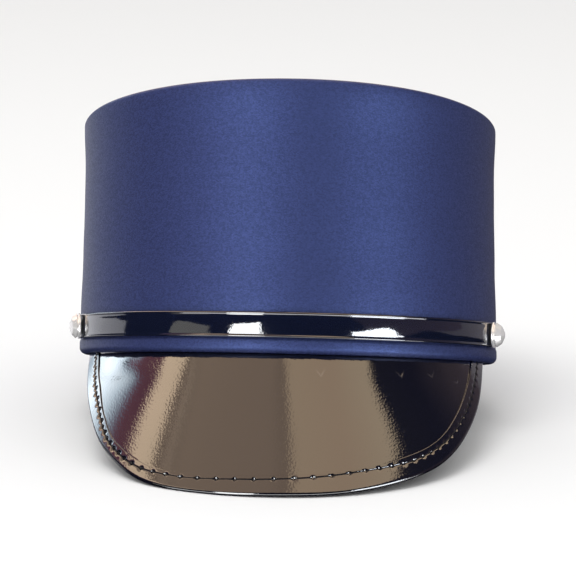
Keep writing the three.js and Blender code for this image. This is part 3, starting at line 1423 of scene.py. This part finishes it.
@dataclass
class Strap:
    """The glossy strap round the front, raised along both edges."""

    oval: Oval
    stance: Stance
    lean: Lean
    bottom: float = 6.2 * MM
    height: float = 10.4 * MM
    back: float = 0.5 * MM
    end: float = math.radians(76)
    cap: float = math.radians(1.2)
    button_turn: float = math.radians(72)
    sway: float = 0.16 * MM
    sway_pitch: float = 15 * MM
    sway_rise: float = 7.0
    cap_least: float = 0.55
    cap_growth: float = 0.45
    columns: int = 360
    smooth_under: float = math.radians(60)

    # Millimetres out from the strap's back and up from its lower edge
    section: Rows = (
        (0.0, 0.3), (0.5, 0.0), (0.95, 0.05), (1.25, 0.22), (1.38, 0.5), (1.32, 0.8), (1.18, 1.05),
        (1.15, 1.35), (1.2, 1.8), (1.28, 2.6), (1.34, 3.6), (1.37, 4.6), (1.38, 5.4), (1.36, 6.4),
        (1.31, 7.4), (1.23, 8.3), (1.15, 8.95), (1.17, 9.25), (1.3, 9.5), (1.38, 9.8), (1.28, 10.12),
        (0.95, 10.34), (0.5, 10.4), (0.0, 10.1), (0.0, 0.3),
    )

    def place(self, along: float, round_: float) -> Vector:
        """Set a point of the strap.

        Args:
            along: share of the way along it, from its left end.
            round_: share of the way round its section.

        Returns:
            The point in the upright frame.
        """
        turn = (self.end + self.cap) * (2 * along - 1)
        past = max(abs(turn) - self.end, 0.0) / self.cap
        fullness = self.cap_least + self.cap_growth * math.sqrt(max(1 - past * past, 0.0))
        stand, up = self.section[round(round_ * (len(self.section) - 1))]
        arc = self.oval.half_width * turn
        wave = noise.noise(Vector((arc / self.sway_pitch, up / self.sway_rise, 0.0)))
        swayed = stand * MM + self.sway * wave * min(stand, 1.0)
        middle = self.height / 2
        height = self.bottom + middle + (up * MM - middle) * fullness
        at = self.oval.point(turn, self.oval.half_width + self.back + swayed, height)
        return self.lean.apply(at)

    def build(self, patent: Material) -> None:
        """Make the strap.

        Args:
            patent: its finish.
        """
        made = bent_grid(self.columns, len(self.section) - 1, self.place)
        closed(made)
        piece = finished("front_strap_patent", made, self.stance, [patent], self.smooth_under)
        worn(piece, Slot.PATENT, "front_strap")


@dataclass
class Button:
    """A round-flanged metal button with a faceted dome."""

    name: str
    turn: float
    oval: Oval
    stance: Stance
    lean: Lean
    dome_height: float = 1.0
    aside: float = math.radians(5)
    seat: float = 2.3 * MM
    middle: float = 11.4 * MM
    flange: float = 5.45 * MM
    flange_height: float = 0.7 * MM
    neck: float = 4.5 * MM
    neck_height: float = 1.3 * MM
    facets: int = 8
    rim_steps: int = 64
    edge_round: float = 0.12 * MM
    overlap: float = 0.05 * MM
    sharp_over: float = math.radians(12)
    corner_over: float = 1.0
    smooth_under: float = math.radians(25)

    # Half width over the facets' corners, and height above the seat
    dome: Rows = ((5.25, 1.3), (5.25, 1.8), (3.9, 3.9), (1.3, 5.2))

    def disc(self, made: Mesh, radius: float, low: float, high: float) -> None:
        """Add a round disc to the button.

        Args:
            made: the button's mesh.
            radius: the disc's radius.
            low: height of its lower face above the seat.
            high: height of its upper face.
        """
        rim = bmesh.ops.create_cone(
            made, cap_ends=True, segments=self.rim_steps, radius1=radius, radius2=radius,
            depth=high - low, matrix=Matrix.Translation((0, 0, (low + high) / 2)),
        )["verts"]
        edges = dict.fromkeys(edge for vertex in rim for edge in vertex.link_edges)
        sharp = [edge for edge in edges if edge.calc_face_angle(0.0) > self.corner_over]
        bevelled(made, sharp, self.edge_round)

    def build(self, silver: Material) -> None:
        """Make the button.

        Args:
            silver: its finish.
        """
        made = bmesh.new()
        radius, low = self.dome[0]
        bmesh.ops.create_circle(
            made, cap_ends=True, segments=self.facets, radius=radius * MM,
            matrix=Matrix.Translation((0, 0, low * MM)),
        )
        top = list(made.faces)
        for (before, low), (after, high) in zip(self.dome, self.dome[1:]):
            grown = bmesh.ops.extrude_face_region(made, geom=top)["geom"]
            verts = [item for item in grown if isinstance(item, bmesh.types.BMVert)]
            bmesh.ops.translate(made, vec=(0, 0, (high - low) * self.dome_height * MM), verts=verts)
            bmesh.ops.scale(made, vec=(after / before, after / before, 1.0), verts=verts)
            top = [item for item in grown if isinstance(item, bmesh.types.BMFace)]
        bmesh.ops.recalc_face_normals(made, faces=made.faces)
        sharp = [edge for edge in made.edges if edge.calc_face_angle(0.0) > self.sharp_over]
        bevelled(made, sharp, self.edge_round)
        self.disc(made, self.flange, 0.0, self.flange_height)
        self.disc(made, self.neck, self.flange_height - self.overlap, self.neck_height + self.overlap)
        outward = self.oval.outward(self.turn + math.copysign(self.aside, self.turn))
        aimed = UP.rotation_difference(outward).to_matrix().to_4x4()
        at = self.oval.point(self.turn, self.oval.half_width + self.seat, self.middle)
        made.transform(Matrix.Translation(self.lean.apply(at)) @ aimed)
        piece = finished(self.name + "_plated", made, self.stance, [silver], self.smooth_under)
        worn(piece, Slot.SILVER, self.name)


# The studio


@dataclass(frozen=True)
class Viewpoint:
    """The camera, placed in the hat's upright frame."""

    distance: float = 1200 * MM
    below_rim: float = 27.2 * MM
    turn: float = 0.035
    pitch: float = 0.0485
    roll: float = 0.0154
    lens: float = 172.1
    sensor: float = 36.0
    shift: float = -0.001
    clip: float = 0.05

    def build(self, stance: Stance) -> None:
        """Make the camera and set it as the scene's.

        Args:
            stance: how the hat stands.
        """
        data = bpy.data.cameras.new("view")
        data.sensor_fit = "HORIZONTAL"
        data.sensor_width = self.sensor
        data.lens = self.lens
        data.shift_x = self.shift
        data.clip_start = self.clip
        camera = linked("view", data)
        right = Vector((math.cos(self.turn), math.sin(self.turn), 0.0))
        ahead = Vector((-math.sin(self.turn), math.cos(self.turn), 0.0)) * math.cos(self.pitch)
        ahead += UP * math.sin(self.pitch)
        up = right.cross(ahead)
        rolled_right = right * math.cos(self.roll) + up * math.sin(self.roll)
        rolled_up = up * math.cos(self.roll) - right * math.sin(self.roll)
        at = Vector((math.sin(self.turn), -math.cos(self.turn), 0.0)) * self.distance
        at -= UP * self.below_rim
        turned = axes(rolled_right, rolled_up, -ahead)
        camera.matrix_world = stance.matrix() @ Matrix.Translation(at) @ turned
        bpy.context.scene.camera = camera


@dataclass(frozen=True)
class Stand:
    """An upright glowing card, between two angles in degrees round from the front, towards +X."""

    name: str
    colour: Colour
    start: float
    stop: float
    low: float
    high: float
    low_end: float
    distance: float = 2.2

    def place(self, across: float, along: float) -> Vector:
        """Set a point of the card.

        Args:
            across: share of the way from its first angle to its last.
            along: share of the way up it.

        Returns:
            The point, in the world.
        """
        angle = math.radians(self.start + (self.stop - self.start) * across)
        low = self.low + (self.low_end - self.low) * across
        height = low + (self.high - low) * along
        return Vector((self.distance * math.sin(angle), -self.distance * math.cos(angle), height))


@dataclass(frozen=True)
class Arch:
    """A part of the room bent over the hat: degrees from straight up, and depths along the view."""

    name: str
    start: float
    stop: float
    start_depths: tuple[float, float]
    stop_depths: tuple[float, float]
    radius: float = 2.0

    def place(self, across: float, along: float) -> Vector:
        """Set a point of the part.

        Args:
            across: share of the way from its first angle to its last.
            along: share of the way from its near depth to its far one.

        Returns:
            The point, in the world.
        """
        swing = math.radians(self.start + (self.stop - self.start) * across)
        depths = zip(self.start_depths, self.stop_depths)
        near, far = (first + (last - first) * across for first, last in depths)
        depth = near + (far - near) * along
        return Vector((self.radius * math.sin(swing), depth, self.radius * math.cos(swing)))


@dataclass
class Studio:
    """A plain pale floor, soft white light, and the glowing surfaces that the glossy pieces mirror."""

    arch_strength: float = 8.0
    floor_size: float = 12.0
    floor_colour: Colour = (0.86, 0.86, 0.86)
    floor_roughness: float = 0.9
    floor_gloss: float = 0.1
    floor_steps: int = 96
    sky: float = 0.9
    mirrored_sky: Colour = (0.010, 0.010, 0.014)
    lamp_size: float = 1.6
    lamp_power: float = 26.0
    lamp_place: tuple[float, float, float] = (-0.5, -1.1, 2.2)
    lamp_aim: tuple[float, float, float] = (0.0, 0.0, 0.08)
    arch_steps: int = 40
    card_steps: int = 8

    # Degrees from straight up, towards +X, and the light that comes from there
    room: tuple[tuple[float, Colour], ...] = (
        (-88.0, (0.6, 0.7, 0.8)), (-81.0, (1.0, 1.2, 1.4)), (-75.0, (2.3, 2.6, 2.8)),
        (-69.0, (4.0, 4.5, 4.9)), (-64.0, (3.7, 4.2, 4.6)), (-60.5, (2.9, 3.4, 3.8)),
        (-57.5, (1.5, 1.8, 2.1)), (-55.4, (0.7, 0.6, 0.8)),
        (-54.0, (0.62, 0.24, 0.30)), (-49.6, (0.58, 0.22, 0.28)), (-48.2, (4.4, 3.3, 2.3)),
        (-42.6, (4.6, 3.5, 2.4)), (-41.0, (1.1, 0.8, 0.55)), (-39.8, (1.1, 0.8, 0.55)),
        (-38.8, (1.9, 1.4, 1.0)), (-36.9, (1.8, 1.35, 0.95)), (-36.1, (1.15, 0.85, 0.6)),
        (-35.2, (1.63, 1.19, 0.83)), (-6.0, (1.55, 1.13, 0.80)), (0.6, (1.25, 0.91, 0.64)),
        (2.4, (2.75, 2.05, 1.36)), (20.0, (2.6, 1.88, 1.26)), (34.0, (2.7, 2.1, 1.42)),
        (36.4, (0.05, 0.05, 0.06)), (48.0, (0.03, 0.03, 0.05)), (60.0, (0.13, 0.10, 0.11)),
        (88.0, (0.16, 0.12, 0.14)),
    )
    arches: tuple[Arch, ...] = (
        Arch("window_behind", -88.0, -56.0, (2.7, 4.4), (0.2, 1.15)),
        Arch("ceiling", -56.0, 88.0, (-1.8, 4.0), (-1.8, 4.0)),
    )
    stands: tuple[Stand, ...] = (
        Stand("left_window", (13.6, 13.8, 14.0), -31, -12, -0.75, 0.72, -0.75),
        Stand("right_window", (15.0, 15.8, 17.0), 37, 69, -0.75, 0.28, -0.75),
        Stand("left_shelf", (0.95, 0.92, 0.78), -66, -43, -0.5, 0.45, -0.5),
        Stand("left_wall", (1.0, 1.0, 1.05), -168, -98, -0.7, 0.05, -0.7),
        Stand("right_wall", (0.26, 0.24, 0.26), 84, 178, 0.12, 0.5, -0.9),
        Stand("low_front", (5.0, 5.0, 5.1), -60, 84, -1.7, -0.62, -1.7, 2.3),
    )

    def mirrored_only(self, name: str, made: Mesh, glow: Material) -> None:
        """Make a glowing object that only mirror reflections see.

        Args:
            name: the object's name.
            made: its mesh, which is freed.
            glow: its finish.
        """
        card = meshed(name, made, [glow])
        for kind in ("camera", "diffuse", "shadow", "transmission"):
            setattr(card, "visible_" + kind, False)

    def glow(self, name: str, strength: float) -> tuple[Material, Net, bpy.types.Node]:
        """Start a plain glowing finish.

        Args:
            name: its name.
            strength: its brightness.

        Returns:
            The material, its nodes and its Emission node.
        """
        material, net, shader = begun(name)
        net.tree.nodes.remove(shader)
        light = net.add("Emission", {"Strength": strength})
        net.fill(net.tree.nodes["Material Output"], {"Surface": light.outputs[0]})
        return material, net, light

    def build_room(self) -> None:
        """Bend the room over the hat: bands of light along the view, as the peak mirrors them."""
        left, right = self.room[0][0], self.room[-1][0]
        glow, net, light = self.glow("room", self.arch_strength)
        where = net.add("SeparateXYZ", {0: net.place()}).outputs
        ends = (math.radians(left), math.radians(right))
        share = net.span(net.maths("ARCTAN2", where["X"], where["Z"]), ends, (0.0, 1.0))
        ramp = net.add("ValToRGB", {0: share})
        elements = ramp.color_ramp.elements
        elements.remove(elements[1])
        for i, (degrees, colour) in enumerate(self.room):
            stop = elements[0] if i == 0 else elements.new(1.0)
            stop.position = (degrees - left) / (right - left)
            stop.color = opaque(tuple(part / self.arch_strength for part in colour))
        net.fill(light, {"Color": ramp.outputs[0]})
        for arch in self.arches:
            self.mirrored_only(arch.name, bent_grid(self.arch_steps, 1, arch.place), glow)

    def build_stands(self) -> None:
        """Stand the cards round the hat."""
        for card in self.stands:
            glow, net, light = self.glow(card.name, 1.0)
            net.fill(light, {"Color": opaque(card.colour)})
            self.mirrored_only(card.name, bent_grid(self.card_steps, 1, card.place), glow)

    def build_floor(self) -> None:
        """Lay the floor, which mirror reflections don't see."""
        made = bmesh.new()
        bmesh.ops.create_circle(made, cap_ends=True, segments=self.floor_steps, radius=self.floor_size)
        material, net, shader = begun("floor")
        net.fill(shader, {
            "Base Color": opaque(self.floor_colour),
            "Roughness": self.floor_roughness,
            "Specular IOR Level": self.floor_gloss,
        })
        floor = meshed("floor", made, [material])
        floor.visible_glossy = False

    def build_light(self) -> None:
        """Fill the room with soft white light, which mirror reflections see as dark."""
        world = bpy.data.worlds.new("studio")
        bpy.context.scene.world = world
        world.use_nodes = True
        net = Net(world.node_tree)
        white = net.tree.nodes["Background"]
        net.fill(white, {"Color": (1, 1, 1, 1), "Strength": self.sky})
        dark = net.add("Background", {"Color": opaque(self.mirrored_sky), "Strength": 1.0})
        glossy = net.add("LightPath").outputs["Is Glossy Ray"]
        mixed = net.add("MixShader", {0: glossy, 1: white.outputs[0], 2: dark.outputs[0]})
        net.fill(net.tree.nodes["World Output"], {"Surface": mixed.outputs[0]})
        data = bpy.data.lights.new("overhead", "AREA")
        data.shape = "DISK"
        data.size = self.lamp_size
        data.energy = self.lamp_power
        lamp = linked("overhead", data)
        lamp.location = self.lamp_place
        aim = Vector(self.lamp_aim) - Vector(lamp.location)
        lamp.rotation_euler = aim.to_track_quat("-Z", "Y").to_euler()
        lamp.visible_glossy = False

    def build(self) -> None:
        """Make the whole studio."""
        self.build_floor()
        self.build_light()
        self.build_room()
        self.build_stands()
        bpy.context.scene.view_settings.view_transform = "Standard"


def main() -> None:
    """Build the hat's pieces in order, and the studio round them."""
    logging.basicConfig(level=logging.INFO, format="%(name)s: %(message)s")
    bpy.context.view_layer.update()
    stance = Stance.of_record(frame["record"])
    oval = Oval()
    Viewpoint().build(stance)
    groups = Groups()
    satin = Satin().build(groups)
    backing = Backing().build(groups)
    patent = Patent().build(groups)
    strap_look = Patent("strap_sheet", colour=(0.004, 0.006, 0.018), ripple_size=9 * MM, peel=0.015 * MM)
    underside = Dull("peak_underside").build(groups)
    thread = Dull("black_thread", roughness=0.75, gloss_level=0.15, pebble=0.3 * MM).build(groups)
    silver = Silver().build(groups)
    lean = Lean()
    crown = Crown(oval, stance, lean)
    crown.build_side(satin, backing)
    crown.build_top(satin)
    peak = Peak(oval, stance)
    marks = tuple(peak.share_of(math.radians(turn), down * MM) for turn, down in peak.puckers)
    # The pucker marks get a painted highlight in this sheet's material.
    peak.build_sheet(Patent("puckered_sheet_painted_highlight", marks=marks).build(groups), underside)
    binding = Binding(peak)
    binding.build(patent, thread)
    binding.build_stitches(thread)
    strap = Strap(oval, stance, lean)
    strap.build(strap_look.build(groups))
    Button("button_left", -strap.button_turn, oval, stance, lean, dome_height=0.78).build(silver)
    Button("button_right", strap.button_turn, oval, stance, lean, dome_height=0.95).build(silver)
    Studio().build()


if __name__ == "__main__":
    main()
